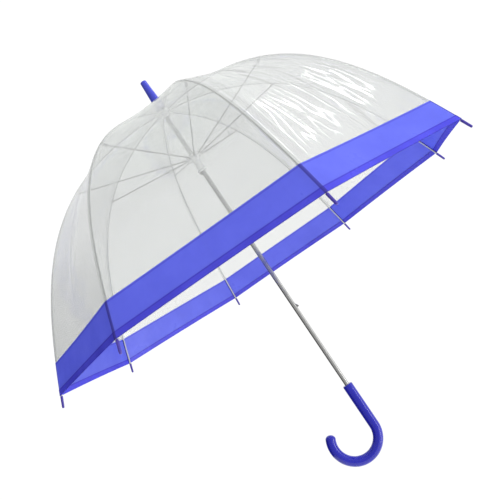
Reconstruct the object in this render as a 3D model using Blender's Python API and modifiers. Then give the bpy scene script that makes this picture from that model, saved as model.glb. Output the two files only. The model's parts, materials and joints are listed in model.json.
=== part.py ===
"""Children's dome umbrella, shown open: shaft, crook handle, ferrule, notch, runner, eight folding
ribs with stretchers and tips, two spring catches and a clear canopy with a coloured border.

Metres, +Z up. The origin is on the shaft's axis, in the middle of the handle's straight grip. The
crook opens towards -X. Ribs are numbered anticlockwise, seen from above.
"""

import math

import bmesh
import bpy
from mathutils import Matrix, Vector

# driving dimensions
RIB_COUNT = 8
FIRST_RIB_AZIMUTH = math.radians(14.45)
GORE_ANGLE = 2 * math.pi / RIB_COUNT
FIT_GAP = 0.0003

# the notch, which the ribs turn on
PIVOT_Z = 0.540
PIVOT_RADIUS = 0.010
HUB_RADIUS = 0.0125
SLOT_FLOOR_RADIUS = 0.0076
EYE_RADIUS = 0.0019
EYE_HALF_WIDTH = 0.0010
EYE_HOLE_RADIUS = 0.00075
WIRE_RADIUS = 0.00045
RIB_SLOT_WIDTH = 0.0030

# the rib's centreline, a Bezier curve of (out, up) from its pivot when the umbrella is open
RIB_CONTROL = ((0.0, 0.0), (0.2071, -0.0064), (0.275, -0.1254), (0.340, -0.2869))
RIB_RADIUS = 0.0012
STRETCHER_ARC = 0.178
FLEX_ARC = 0.181
BORDER_ARC = 0.434
RIB_PAST_HEM = 0.008

# the stretchers and the runner
STRETCHER_PIN_DROP = 0.0030
STRETCHER_RADIUS = 0.0010
FORK_INNER = 0.0014
FORK_OUTER = 0.0021
FORK_THROAT = 0.0036
FORK_LENGTH = 0.0056
FORK_HALF_DEPTH = 0.00105
CHEEK_RADIUS = 0.0014
RUNNER_PIVOT_Z = PIVOT_Z - 0.0862
RUNNER_LENGTH_BELOW = 0.026
SLEEVE_RADIUS = 0.0058
FLANGE_RADIUS = 0.0080
KEYWAY_RADIUS = 0.0070
KEYWAY_WIDTH = 0.0026

# the shaft, the handle and the ferrule
SHAFT_RADIUS = 0.0035
SHAFT_WALL = 0.0006
BORE_RADIUS = SHAFT_RADIUS + FIT_GAP
HANDLE_TOP_Z = 0.0354
HANDLE_RADIUS = 0.00775
HOOK_CENTRE_Z = -0.034
HOOK_RADIUS = 0.035
HOOK_SWEEP = math.radians(208)
HANDLE_SOCKET = 0.025
FERRULE_BASE_Z = PIVOT_Z + 0.0055
FERRULE_SHOULDER_Z = PIVOT_Z + 0.024
FERRULE_END_Z = PIVOT_Z + 0.0613
FERRULE_SOCKET_Z = PIVOT_Z + 0.027

# the two catches, flat levers in slots of the shaft
CATCH_HALF_WIDTH = 0.0008
CATCH_SLOT_WIDTH = 0.0022
CATCH_REACH = 0.0064
CATCH_LENGTH = 0.020
TOP_CATCH_AZIMUTH = FIRST_RIB_AZIMUTH + 3.5 * GORE_ANGLE
BOTTOM_CATCH_AZIMUTH = FIRST_RIB_AZIMUTH + 7.5 * GORE_ANGLE
TOP_CATCH_LEDGE_Z = RUNNER_PIVOT_Z - RUNNER_LENGTH_BELOW - FIT_GAP
BOTTOM_CATCH_LEDGE_Z = PIVOT_Z - 0.3683

# the canopy
FILM_THICKNESS = 0.0005
FILM_OFFSET = 0.0019
CROWN_HOLE_RADIUS = 0.0045
CROWN_LIFT = 0.0030
CROWN_LIFT_ARC = 0.030
GORE_SAG = 0.004
HEM_RISE = 0.001
PANEL_GAP = 0.0004

TIP_RADIUS = 0.0019
TIP_BORE_RADIUS = 0.0015
TIP_LENGTH = 0.017

BLUE = (0.052, 0.058, 0.52)
BORDER_BLUE = (0.13, 0.15, 0.82)
CLEAR_GREY = (0.72, 0.75, 0.73)


def clear_scene():
    """Remove every object."""
    for old in list(bpy.data.objects):
        bpy.data.objects.remove(old, do_unlink=True)


def new_collection(name):
    """A collection linked to the scene."""
    collection = bpy.data.collections.new(name)
    bpy.context.scene.collection.children.link(collection)
    return collection


def new_material(name, colour, roughness, metallic=0.0, alpha=1.0):
    """A Principled material with plain values."""
    material = bpy.data.materials.new(name)
    material.use_nodes = True
    shader = material.node_tree.nodes["Principled BSDF"]
    shader.inputs["Base Color"].default_value = (*colour, 1.0)
    shader.inputs["Roughness"].default_value = roughness
    shader.inputs["Metallic"].default_value = metallic
    shader.inputs["Alpha"].default_value = alpha
    material.diffuse_color = (*colour, alpha)
    return material


def cutter(name, mesh):
    """An object that only cuts or joins others."""
    tool = bpy.data.objects.new(name, mesh)
    cutters.objects.link(tool)
    tool.hide_render = True
    tool.display_type = "WIRE"
    return tool


def boolean(target, tool, operation):
    """Add an exact Boolean modifier to the target."""
    modifier = target.modifiers.new(operation.title() + "_" + tool.name, "BOOLEAN")
    modifier.operation = operation
    modifier.object = tool
    modifier.solver = "EXACT"


def evaluated_mesh(source, weld=0.0):
    """The source's evaluated mesh, in its own coordinates, with its ends welded if asked."""
    graph = bpy.context.evaluated_depsgraph_get()
    mesh = bpy.data.meshes.new_from_object(source.evaluated_get(graph))
    if weld > 0:
        shape = bmesh.new()
        shape.from_mesh(mesh)
        bmesh.ops.remove_doubles(shape, verts=shape.verts, dist=weld)
        bmesh.ops.recalc_face_normals(shape, faces=shape.faces)
        shape.to_mesh(mesh)
        shape.free()
    return mesh


def combined_mesh(name, base, joins=(), cuts=()):
    """One mesh made of the base mesh, with meshes joined to it and then cut from it."""
    work = cutter(name + "_work", base)
    for number, mesh in enumerate(joins):
        boolean(work, cutter(f"{name}_join_{number}", mesh), "UNION")
    for number, mesh in enumerate(cuts):
        boolean(work, cutter(f"{name}_cut_{number}", mesh), "DIFFERENCE")
    mesh = evaluated_mesh(work)
    mesh.name = name
    bpy.data.objects.remove(work, do_unlink=True)
    return mesh


def box_mesh(low, high):
    """A box between two corners."""
    shape = bmesh.new()
    bmesh.ops.create_cube(shape, size=1.0)
    size = Vector(high) - Vector(low)
    middle = (Vector(high) + Vector(low)) / 2
    bmesh.ops.scale(shape, vec=size, verts=shape.verts)
    bmesh.ops.translate(shape, vec=middle, verts=shape.verts)
    mesh = bpy.data.meshes.new("box")
    shape.to_mesh(mesh)
    shape.free()
    return mesh


def moved(mesh, matrix):
    """The same mesh, moved by a matrix."""
    mesh.transform(matrix)
    return mesh


def joined(meshes):
    """One mesh of several that stay apart."""
    shape = bmesh.new()
    for mesh in meshes:
        shape.from_mesh(mesh)
    result = bpy.data.meshes.new("joined")
    shape.to_mesh(result)
    shape.free()
    return result


def disc_mesh(centre, radius, half_width, segments=12):
    """A disc across Y, with its centre at (x, z)."""
    shape = bmesh.new()
    lay = Matrix.Rotation(math.pi / 2, 4, "X")
    bmesh.ops.create_cone(
        shape,
        cap_ends=True,
        segments=segments,
        radius1=radius,
        radius2=radius,
        depth=2 * half_width,
        matrix=Matrix.Translation((centre[0], 0.0, centre[1])) @ lay,
    )
    mesh = bpy.data.meshes.new("disc")
    shape.to_mesh(mesh)
    shape.free()
    return mesh


def radial_boxes(azimuths, inner, outer, width, low, high):
    """Boxes that reach out from the axis, one at each azimuth."""
    boxes = []
    for azimuth in azimuths:
        box = box_mesh((inner, -width / 2, low), (outer, width / 2, high))
        boxes.append(moved(box, Matrix.Rotation(azimuth, 4, "Z")))
    return joined(boxes)


def turned_mesh(name, profile, steps, closed):
    """Turn a profile of (radius, height), which runs down its outer side, about Z."""
    count = len(profile)
    edges = [(i, i + 1) for i in range(count - 1)]
    if closed:
        edges.append((count - 1, 0))
    outline = bpy.data.meshes.new(name + "_profile")
    outline.from_pydata([(r, 0.0, z) for r, z in profile], edges, [])
    work = cutter(name + "_turning", outline)
    screw = work.modifiers.new("Screw", "SCREW")
    screw.axis = "Z"
    screw.angle = 2 * math.pi
    screw.steps = steps
    screw.render_steps = steps
    screw.use_merge_vertices = True
    screw.merge_threshold = 0.00001
    mesh = evaluated_mesh(work, weld=0.00001)
    mesh.name = name
    bpy.data.objects.remove(work, do_unlink=True)
    return mesh


def rod_mesh(name, points, radius, sides, radii=None):
    """A round rod along points, with closed ends. radii are shares of the radius."""
    curve = bpy.data.curves.new(name, "CURVE")
    curve.dimensions = "3D"
    curve.bevel_depth = radius
    curve.bevel_resolution = (sides - 4) // 2
    curve.use_fill_caps = True
    spline = curve.splines.new("POLY")
    spline.points.add(len(points) - 1)
    for number, point in enumerate(points):
        spline.points[number].co = (*point, 1.0)
        spline.points[number].radius = radii[number] if radii else 1.0
    work = bpy.data.objects.new(name + "_curve", curve)
    cutters.objects.link(work)
    mesh = evaluated_mesh(work, weld=0.000001)
    mesh.name = name
    bpy.data.objects.remove(work, do_unlink=True)
    return mesh


def outline_mesh(name, outline, half_width):
    """A flat outline of (x, z), given a thickness across Y."""
    curve = bpy.data.curves.new(name, "CURVE")
    curve.dimensions = "2D"
    curve.fill_mode = "BOTH"
    curve.extrude = half_width
    spline = curve.splines.new("POLY")
    spline.points.add(len(outline) - 1)
    for number, (x, z) in enumerate(outline):
        spline.points[number].co = (x, z, 0.0, 1.0)
    spline.use_cyclic_u = True
    work = bpy.data.objects.new(name + "_curve", curve)
    cutters.objects.link(work)
    mesh = evaluated_mesh(work, weld=0.000001)
    mesh.name = name
    bpy.data.objects.remove(work, do_unlink=True)
    return moved(mesh, Matrix.Rotation(math.pi / 2, 4, "X"))


def add_piece(name, mesh, material, azimuth=0.0, origin=(0.0, 0.0), parent=None):
    """Link an object whose origin is at (out, up) in the half plane at an azimuth."""
    piece = bpy.data.objects.new(name, mesh)
    umbrella.objects.link(piece)
    mesh.materials.clear()
    mesh.materials.append(material)
    mesh.shade_smooth()
    mesh.set_sharp_from_angle(angle=math.radians(35))
    place = Matrix.Rotation(azimuth, 4, "Z") @ Matrix.Translation((origin[0], 0.0, origin[1]))
    if parent:
        piece.parent = parent
        bpy.context.view_layer.update()
        piece.matrix_parent_inverse = parent.matrix_world.inverted()
    piece.matrix_world = place
    return piece


def rib_bezier(t):
    """A point (out, up) of the rib's centreline, from its pivot."""
    weights = ((1 - t) ** 3, 3 * t * (1 - t) ** 2, 3 * t**2 * (1 - t), t**3)
    out = sum(w * p[0] for w, p in zip(weights, RIB_CONTROL))
    up = sum(w * p[1] for w, p in zip(weights, RIB_CONTROL))
    return Vector((out, up))


def rib_arc_table(steps=600):
    """(length along the rib, curve parameter) pairs."""
    table = [(0.0, 0.0)]
    last = rib_bezier(0.0)
    for step in range(1, steps + 1):
        point = rib_bezier(step / steps)
        table.append((table[-1][0] + (point - last).length, step / steps))
        last = point
    return table


ARC_TABLE = rib_arc_table()
HEM_ARC = ARC_TABLE[-1][0]


def rib_at(arc):
    """The point and the tangent (radius, height) at a length along the rib, straight past its ends."""
    inside = min(max(arc, 0.0), HEM_ARC)
    upper = next(i for i, row in enumerate(ARC_TABLE) if row[0] >= inside - 1e-12)
    upper = max(upper, 1)
    low, high = ARC_TABLE[upper - 1], ARC_TABLE[upper]
    t = low[1] + (high[1] - low[1]) * (inside - low[0]) / (high[0] - low[0])
    tangent = (rib_bezier(min(t + 0.001, 1)) - rib_bezier(max(t - 0.001, 0))).normalized()
    point = Vector((PIVOT_RADIUS, PIVOT_Z)) + rib_bezier(t) + tangent * (arc - inside)
    return point, tangent


def outward(tangent):
    """The normal of the rib that points out of the dome."""
    return Vector((-tangent[1], tangent[0]))


def rib_points(start, end, count, origin):
    """Points of the rib's centreline in its own plane, from an origin."""
    points = []
    for step in range(count):
        point = rib_at(start + (end - start) * step / (count - 1))[0] - origin
        points.append((point[0], 0.0, point[1]))
    return points


def canopy_point(arc, share):
    """A point (radius, height) of the film's middle, and its share of the way to the next rib.

    share is 0 on a rib and 1 halfway to the next. The film is a chord between two ribs that sags
    inwards a little, and its hem is a shallow arch.
    """
    bump = 1 - (1 - share) ** 2
    arc = arc * (1 - HEM_RISE / HEM_ARC * bump) if arc > 0 else arc
    point, tangent = rib_at(max(arc, 0.0))
    normal = outward(tangent)
    sag = GORE_SAG * bump * math.sin(math.pi * min(max(arc, 0.0) / HEM_ARC, 1.0)) ** 0.5
    lift = CROWN_LIFT * max(0.0, 1 - max(arc, 0.0) / CROWN_LIFT_ARC)
    point = point + normal * (FILM_OFFSET - sag) + Vector((min(arc, 0.0), lift))
    half = GORE_ANGLE / 2
    chord = math.cos(half) / math.cos(half * (1 - share))
    return point[0] * chord, point[1]


def film_mesh(name, start, end, azimuth, gores, rows, columns_per_gore):
    """A sector of the canopy, centred on an azimuth, as an open sheet."""
    columns = gores * columns_per_gore
    shape = bmesh.new()
    bmesh.ops.create_grid(shape, x_segments=rows, y_segments=columns, size=0.5)
    for vertex in shape.verts:
        arc = start + (end - start) * (vertex.co.x + 0.5)
        turn = vertex.co.y * gores * GORE_ANGLE
        nearest = round(turn / GORE_ANGLE) * GORE_ANGLE
        radius, height = canopy_point(arc, abs(turn - nearest) / (GORE_ANGLE / 2))
        trim = 1 - PANEL_GAP / (radius * gores * GORE_ANGLE)
        angle = azimuth + turn * (trim if abs(vertex.co.y) > 0.499 else 1.0)
        vertex.co = (radius * math.cos(angle), radius * math.sin(angle), height)
    mesh = bpy.data.meshes.new(name)
    shape.to_mesh(mesh)
    shape.free()
    return mesh


def add_film(name, mesh, material, parent):
    """A thin sheet of canopy: an open surface with a thickness."""
    piece = add_piece(name, mesh, material, parent=parent)
    solidify = piece.modifiers.new("Thickness", "SOLIDIFY")
    solidify.thickness = FILM_THICKNESS
    solidify.offset = 0.0
    solidify.use_even_offset = True
    return piece


def shaft_mesh():
    """A tube with a slot for each catch."""
    low = HANDLE_TOP_Z - HANDLE_SOCKET
    high = FERRULE_SOCKET_Z - FIT_GAP
    inner = SHAFT_RADIUS - SHAFT_WALL
    profile = [(inner, high), (SHAFT_RADIUS, high), (SHAFT_RADIUS, low), (inner, low)]
    tube = turned_mesh("shaft", profile, 24, closed=True)
    top_slot = radial_boxes(
        [TOP_CATCH_AZIMUTH],
        0.001,
        0.005,
        CATCH_SLOT_WIDTH,
        TOP_CATCH_LEDGE_Z - 0.010,
        TOP_CATCH_LEDGE_Z + 0.0008,
    )
    bottom_slot = radial_boxes(
        [BOTTOM_CATCH_AZIMUTH],
        0.001,
        0.005,
        CATCH_SLOT_WIDTH,
        BOTTOM_CATCH_LEDGE_Z - 0.0008,
        BOTTOM_CATCH_LEDGE_Z + 0.010,
    )
    return combined_mesh("shaft", tube, cuts=[top_slot, bottom_slot])


def handle_mesh():
    """A crook with a bevelled top, a rounded end and a socket for the shaft."""
    points = [(0.0, 0.0, HANDLE_TOP_Z), (0.0, 0.0, HANDLE_TOP_Z - 0.0012)]
    radii = [0.86, 1.0]
    turns = 22
    for step in range(turns + 1):
        angle = HOOK_SWEEP * step / turns
        x = HOOK_RADIUS * (math.cos(angle) - 1)
        points.append((x, 0.0, HOOK_CENTRE_Z - HOOK_RADIUS * math.sin(angle)))
        radii.append(1.0)
    forward = Vector((-math.sin(HOOK_SWEEP), 0.0, -math.cos(HOOK_SWEEP)))
    last = Vector(points[-1])
    for step in range(1, 5):
        angle = math.radians(19 * step)
        points.append(tuple(last + forward * HANDLE_RADIUS * math.sin(angle) * 0.8))
        radii.append(math.cos(angle))
    crook = rod_mesh("handle", points, HANDLE_RADIUS, 16, radii)
    depth = HANDLE_SOCKET + FIT_GAP
    bottom = HANDLE_TOP_Z - depth
    profile = [(0.0, HANDLE_TOP_Z + 0.01), (BORE_RADIUS, HANDLE_TOP_Z + 0.01)]
    profile += [(BORE_RADIUS, bottom), (0.0, bottom)]
    socket = turned_mesh("socket", profile, 24, closed=False)
    return combined_mesh("handle", crook, cuts=[socket])


def ferrule_mesh():
    """A tapered cap with a blunt, rounded end and a socket for the shaft."""
    profile = [
        (0.0, FERRULE_END_Z),
        (0.0034, FERRULE_END_Z),
        (0.0046, FERRULE_END_Z - 0.0005),
        (0.00525, FERRULE_END_Z - 0.0018),
        (0.0070, FERRULE_SHOULDER_Z),
        (0.0080, FERRULE_BASE_Z + 0.0005),
        (0.0077, FERRULE_BASE_Z),
        (BORE_RADIUS, FERRULE_BASE_Z),
        (BORE_RADIUS, FERRULE_SOCKET_Z),
        (0.0, FERRULE_SOCKET_Z),
    ]
    return turned_mesh("ferrule", profile, 24, closed=False)


def slot_azimuths():
    """The azimuth of every rib."""
    return [FIRST_RIB_AZIMUTH + k * GORE_ANGLE for k in range(RIB_COUNT)]


def notch_mesh():
    """A slotted hub, with the ring of wire that the ribs turn on."""
    profile = [
        (BORE_RADIUS, PIVOT_Z + 0.0030),
        (HUB_RADIUS - 0.0006, PIVOT_Z + 0.0030),
        (HUB_RADIUS, PIVOT_Z + 0.0024),
        (HUB_RADIUS, PIVOT_Z - 0.0024),
        (HUB_RADIUS - 0.0006, PIVOT_Z - 0.0030),
        (0.0066, PIVOT_Z - 0.0030),
        (0.0062, PIVOT_Z - 0.0090),
        (BORE_RADIUS, PIVOT_Z - 0.0090),
    ]
    hub = turned_mesh("notch_hub", profile, 32, closed=True)
    slots = radial_boxes(
        slot_azimuths(),
        SLOT_FLOOR_RADIUS,
        HUB_RADIUS + 0.004,
        RIB_SLOT_WIDTH,
        PIVOT_Z - 0.006,
        PIVOT_Z + 0.006,
    )
    slotted = combined_mesh("notch_slotted", hub, cuts=[slots])
    ring = [(PIVOT_RADIUS, PIVOT_Z + WIRE_RADIUS)]
    for step in range(1, 6):
        angle = math.pi / 2 - 2 * math.pi * step / 6
        point = (PIVOT_RADIUS + WIRE_RADIUS * math.cos(angle), PIVOT_Z + WIRE_RADIUS * math.sin(angle))
        ring.append(point)
    wire = turned_mesh("notch_wire", ring, 32, closed=True)
    return combined_mesh("top_notch", slotted, joins=[wire])


def runner_mesh():
    """A slotted hub on a sleeve with a finger flange. Two keyways let it pass the catches."""
    low = RUNNER_PIVOT_Z - RUNNER_LENGTH_BELOW
    profile = [
        (BORE_RADIUS, RUNNER_PIVOT_Z + 0.0045),
        (HUB_RADIUS - 0.0006, RUNNER_PIVOT_Z + 0.0045),
        (HUB_RADIUS, RUNNER_PIVOT_Z + 0.0039),
        (HUB_RADIUS, RUNNER_PIVOT_Z - 0.0032),
        (HUB_RADIUS - 0.0014, RUNNER_PIVOT_Z - 0.0045),
        (0.0070 + 0.0012, RUNNER_PIVOT_Z - 0.0052),
        (SLEEVE_RADIUS, RUNNER_PIVOT_Z - 0.0075),
        (SLEEVE_RADIUS, low + 0.0050),
        (FLANGE_RADIUS, low + 0.0032),
        (FLANGE_RADIUS, low + 0.0010),
        (FLANGE_RADIUS - 0.0006, low),
        (BORE_RADIUS, low),
    ]
    body = turned_mesh("runner_body", profile, 32, closed=True)
    slots = radial_boxes(
        slot_azimuths(),
        SLOT_FLOOR_RADIUS,
        HUB_RADIUS + 0.004,
        RIB_SLOT_WIDTH,
        RUNNER_PIVOT_Z - 0.009,
        RUNNER_PIVOT_Z + 0.009,
    )
    keyways = radial_boxes(
        [TOP_CATCH_AZIMUTH, BOTTOM_CATCH_AZIMUTH],
        0.0015,
        KEYWAY_RADIUS,
        KEYWAY_WIDTH,
        low - 0.005,
        RUNNER_PIVOT_Z + 0.010,
    )
    return combined_mesh("runner", body, cuts=[slots, keyways])


def catch_mesh(name, direction):
    """A lever with a ramp and a ledge. Its origin is its pivot, and the ledge lies at direction."""
    ledge = direction * CATCH_LENGTH
    back = direction * (CATCH_LENGTH - 0.0070)
    outline = [(0.0008, ledge), (CATCH_REACH, ledge), (CATCH_REACH, ledge - direction * 0.0018)]
    outline += [(0.0031, back), (0.0022, back - direction * 0.0010)]
    for step in range(7):
        angle = math.pi * step / 6
        outline.append((0.0010 * math.cos(angle), -direction * 0.0010 * math.sin(angle)))
    return outline_mesh(name, outline, CATCH_HALF_WIDTH)


def upper_rib_mesh():
    """The rib's part inside the stretchers: an eye, a rod and a lug for the stretcher's pin."""
    origin = Vector((PIVOT_RADIUS, PIVOT_Z))
    points = rib_points(0.0010, FLEX_ARC - FIT_GAP / 2, 8, origin)
    rod = rod_mesh("rib_upper", points, RIB_RADIUS, 8)
    pin = stretcher_pin() - origin
    eye = disc_mesh((0.0, 0.0), EYE_RADIUS, EYE_HALF_WIDTH)
    lug = disc_mesh(pin, 0.0020, 0.0010)
    eye_hole = disc_mesh((0.0, 0.0), EYE_HOLE_RADIUS, 0.003, segments=8)
    pin_hole = disc_mesh(pin, 0.0009, 0.003, segments=8)
    return combined_mesh("rib_upper", rod, joins=[eye, lug], cuts=[eye_hole, pin_hole])


def stretcher_pin():
    """The place (radius, height) of the pin between a rib and its stretcher."""
    point, tangent = rib_at(STRETCHER_ARC)
    return point - outward(tangent) * STRETCHER_PIN_DROP


def flex_point():
    """The place (radius, height) on the rib's outer side about which its outer part bends."""
    point, tangent = rib_at(FLEX_ARC)
    return point + outward(tangent) * RIB_RADIUS


def lower_rib_mesh():
    """The rib's springy part outside the stretchers."""
    points = rib_points(FLEX_ARC + FIT_GAP / 2, HEM_ARC + RIB_PAST_HEM, 11, flex_point())
    return rod_mesh("rib_lower", points, RIB_RADIUS, 8)


def stretcher_mesh():
    """A rod with a fork and pin at the rib, and an eye at the runner. Its origin is the pin."""
    start = stretcher_pin()
    run = Vector((PIVOT_RADIUS, RUNNER_PIVOT_Z)) - start
    length = run.length
    rod = rod_mesh("stretcher", [(0.0045, 0, 0), (length - 0.0006, 0, 0)], STRETCHER_RADIUS, 8)
    eye = disc_mesh((length, 0.0), EYE_RADIUS, EYE_HALF_WIDTH)
    outline = [(FORK_LENGTH, -FORK_HALF_DEPTH), (FORK_LENGTH, FORK_HALF_DEPTH)]
    outline.append((FORK_THROAT - 0.0006, FORK_HALF_DEPTH))
    for step in range(7):
        angle = math.pi / 2 + math.pi * step / 6
        outline.append((CHEEK_RADIUS * math.cos(angle), CHEEK_RADIUS * math.sin(angle)))
    outline.append((FORK_THROAT - 0.0006, -FORK_HALF_DEPTH))
    fork = outline_mesh("fork", outline, FORK_OUTER)
    throat = box_mesh((-0.004, -FORK_INNER, -0.004), (FORK_THROAT, FORK_INNER, 0.004))
    cheeks = combined_mesh("fork_cheeks", fork, cuts=[throat])
    pin = disc_mesh((0.0, 0.0), 0.0005, (FORK_INNER + FORK_OUTER) / 2, segments=8)
    joins = [eye, cheeks, pin]
    hole = disc_mesh((length, 0.0), EYE_HOLE_RADIUS, 0.003, segments=8)
    mesh = combined_mesh("stretcher", rod, joins=joins, cuts=[hole])
    return moved(mesh, Matrix.Rotation(-math.atan2(run[1], run[0]), 4, "Y"))


def tip_mesh():
    """A blunt cap for the rib's end, with its mouth at the origin."""
    hollow = RIB_PAST_HEM + FIT_GAP
    profile = [
        (0.0, TIP_LENGTH),
        (0.0009, TIP_LENGTH),
        (0.0015, TIP_LENGTH - 0.0006),
        (0.0018, TIP_LENGTH - 0.0020),
        (TIP_RADIUS, 0.0030),
        (TIP_RADIUS, PANEL_GAP),
        (TIP_BORE_RADIUS, PANEL_GAP),
        (TIP_BORE_RADIUS, hollow),
        (0.0, hollow),
    ]
    mesh = turned_mesh("rib_tip", profile, 10, closed=False)
    tangent = rib_at(HEM_ARC)[1]
    return moved(mesh, Matrix.Rotation(math.atan2(tangent[0], tangent[1]), 4, "Y"))


def build_core():
    """The shaft and everything on it."""
    chrome = new_material("chrome", (0.74, 0.74, 0.73), 0.12, metallic=1.0)
    glossy_blue = new_material("glossy_blue", BLUE, 0.18)
    white = new_material("white_plastic", (0.80, 0.80, 0.79), 0.35)
    spring = new_material("spring_steel", (0.62, 0.62, 0.61), 0.25, metallic=1.0)
    shaft = add_piece("shaft", shaft_mesh(), chrome)
    add_piece("handle", handle_mesh(), glossy_blue, parent=shaft)
    add_piece("ferrule", ferrule_mesh(), glossy_blue, parent=shaft)
    add_piece("top_notch", notch_mesh(), white, parent=shaft)
    add_piece("runner", runner_mesh(), white, parent=shaft)
    low_pivot = (0.0, TOP_CATCH_LEDGE_Z - CATCH_LENGTH)
    high_pivot = (0.0, BOTTOM_CATCH_LEDGE_Z + CATCH_LENGTH)
    add_piece("top_catch", catch_mesh("top_catch", 1), spring, TOP_CATCH_AZIMUTH, low_pivot, shaft)
    lower = catch_mesh("bottom_catch", -1)
    add_piece("bottom_catch", lower, spring, BOTTOM_CATCH_AZIMUTH, high_pivot, shaft)
    return shaft


def build_ribs(shaft):
    """Eight ribs, each in two parts, with a stretcher and a tip. Returns the upper and lower parts."""
    rib_white = new_material("rib_steel", (0.70, 0.70, 0.69), 0.30, metallic=0.6)
    tip_blue = new_material("tip_blue", (0.10, 0.07, 0.42), 0.25)
    upper = upper_rib_mesh()
    lower = lower_rib_mesh()
    stretcher = stretcher_mesh()
    tip = tip_mesh()
    uppers, lowers = [], []
    for number, azimuth in enumerate(slot_azimuths(), start=1):
        pivot = (PIVOT_RADIUS, PIVOT_Z)
        inner = add_piece(f"rib_upper_{number}", upper, rib_white, azimuth, pivot, shaft)
        outer = add_piece(f"rib_lower_{number}", lower, rib_white, azimuth, flex_point(), inner)
        pin = stretcher_pin()
        add_piece(f"stretcher_{number}", stretcher, rib_white, azimuth, pin, inner)
        hem = rib_at(HEM_ARC)[0]
        add_piece(f"rib_tip_{number}", tip, tip_blue, azimuth, hem, outer)
        uppers.append(inner)
        lowers.append(outer)
    return uppers, lowers


def build_canopy(uppers, lowers):
    """The clear crown in quarters, and a clear side and a border about each rib."""
    clear = new_material("clear_film", CLEAR_GREY, 0.08, alpha=0.30)
    border_blue = new_material("border_film", BORDER_BLUE, 0.22, alpha=0.85)
    azimuths = slot_azimuths()
    inner_arc = CROWN_HOLE_RADIUS - PIVOT_RADIUS
    middle_arc = FLEX_ARC
    for quarter in range(RIB_COUNT // 2):
        azimuth = azimuths[2 * quarter]
        name = f"crown_panel_{quarter + 1}"
        mesh = film_mesh(name, inner_arc, middle_arc - PANEL_GAP / 2, azimuth, 2, 8, 4)
        add_film(name, mesh, clear, uppers[2 * quarter])
    for number, azimuth in enumerate(azimuths, start=1):
        rib = lowers[number - 1]
        name = f"side_panel_{number}"
        start, end = middle_arc + PANEL_GAP / 2, BORDER_ARC - PANEL_GAP / 2
        add_film(name, film_mesh(name, start, end, azimuth, 1, 8, 4), clear, rib)
        name = f"border_{number}"
        mesh = film_mesh(name, BORDER_ARC + PANEL_GAP / 2, HEM_ARC, azimuth, 1, 2, 4)
        add_film(name, mesh, border_blue, rib)


clear_scene()
umbrella = new_collection("childrens_umbrella")
cutters = new_collection("cutters")
core = build_core()
upper_ribs, lower_ribs = build_ribs(core)
build_canopy(upper_ribs, lower_ribs)
for tool_object in list(cutters.objects):
    bpy.data.objects.remove(tool_object, do_unlink=True)
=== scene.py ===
"""The looks of a child's clear dome umbrella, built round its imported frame. Metres, +Z up."""

import json
import math

import bmesh
import bpy
import numpy as np
from mathutils import Matrix, Vector, noise


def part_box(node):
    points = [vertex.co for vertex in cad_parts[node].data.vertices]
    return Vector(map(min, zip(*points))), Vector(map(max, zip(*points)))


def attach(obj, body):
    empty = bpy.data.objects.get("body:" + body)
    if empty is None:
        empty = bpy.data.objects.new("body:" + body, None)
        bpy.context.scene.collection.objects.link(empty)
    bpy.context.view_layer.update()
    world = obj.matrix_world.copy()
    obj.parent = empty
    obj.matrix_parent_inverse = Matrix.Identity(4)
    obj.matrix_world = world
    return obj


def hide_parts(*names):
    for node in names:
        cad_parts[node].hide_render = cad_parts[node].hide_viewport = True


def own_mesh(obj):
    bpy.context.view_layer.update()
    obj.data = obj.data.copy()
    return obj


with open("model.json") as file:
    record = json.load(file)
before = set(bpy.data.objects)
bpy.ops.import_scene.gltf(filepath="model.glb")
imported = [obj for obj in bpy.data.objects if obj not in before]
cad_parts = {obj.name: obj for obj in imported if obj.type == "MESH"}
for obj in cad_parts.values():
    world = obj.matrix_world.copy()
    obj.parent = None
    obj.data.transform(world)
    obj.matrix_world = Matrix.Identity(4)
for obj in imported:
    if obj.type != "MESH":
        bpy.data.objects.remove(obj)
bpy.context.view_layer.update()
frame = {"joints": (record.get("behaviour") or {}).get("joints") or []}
JOINTS = {joint["name"]: joint for joint in frame["joints"]}

# the layout, read from the joints
RIB_COUNT = 8
HALF_GORE = math.pi / RIB_COUNT
PIVOTS = [Vector(JOINTS[f"rib_fold_{k}"]["pos_m"]) for k in range(1, RIB_COUNT + 1)]
AZIMUTHS = [math.atan2(p.y, p.x) for p in PIVOTS]
PIVOT_RADIUS = PIVOTS[0].xy.length
PIVOT_Z = PIVOTS[0].z
STRETCHER_PIN = Vector(JOINTS["stretcher_pin_1"]["pos_m"])
RUNNER_LOW, RUNNER_HIGH = (corner[2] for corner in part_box("runner"))
RUNNER_PIVOT_DROP = 0.0045
RUNNER_PIVOT_Z = RUNNER_HIGH - RUNNER_PIVOT_DROP
SHAFT_LOW, SHAFT_HIGH = (corner[2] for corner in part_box("shaft"))
HANDLE_TOP_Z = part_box("handle")[1][2]
FERRULE_BASE_Z, FERRULE_END_Z = (corner[2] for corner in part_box("ferrule"))

# the ribs and the canopy, as the frame has them: an arc is a length along a rib from its pivot
RIB_CONTROL = ((0.0, 0.0), (0.2071, -0.0064), (0.275, -0.1254), (0.340, -0.2869))
RIB_RADIUS = 0.0012
FLEX_ARC = 0.181
FLEX_HALF_GAP = 0.00015
BORDER_ARC = 0.434
RIB_PAST_HEM = 0.008
FILM_THICKNESS = 0.0004
BORDER_THICKNESS = 0.00045
HEM_THICKNESS = 0.0010
FILM_OFFSET = 0.0019
CROWN_HOLE_RADIUS = 0.0045
CROWN_LIFT = 0.0030
CROWN_LIFT_ARC = 0.030
GORE_SAG = 0.004
HEM_RISE = 0.001
HEM_STRIP = 0.0085
WELD_HALF_WIDTH = 0.0022
RIPPLE_SCALE = 14.0
RIPPLE_HEIGHT = 0.0012
CREASE_SCALE = (38.0, 38.0, 16.0)
CREASE_HEIGHT = 0.00025
SLOPE_STEP = 0.0004
CREASED_AZIMUTH = AZIMUTHS[6] + HALF_GORE

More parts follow.
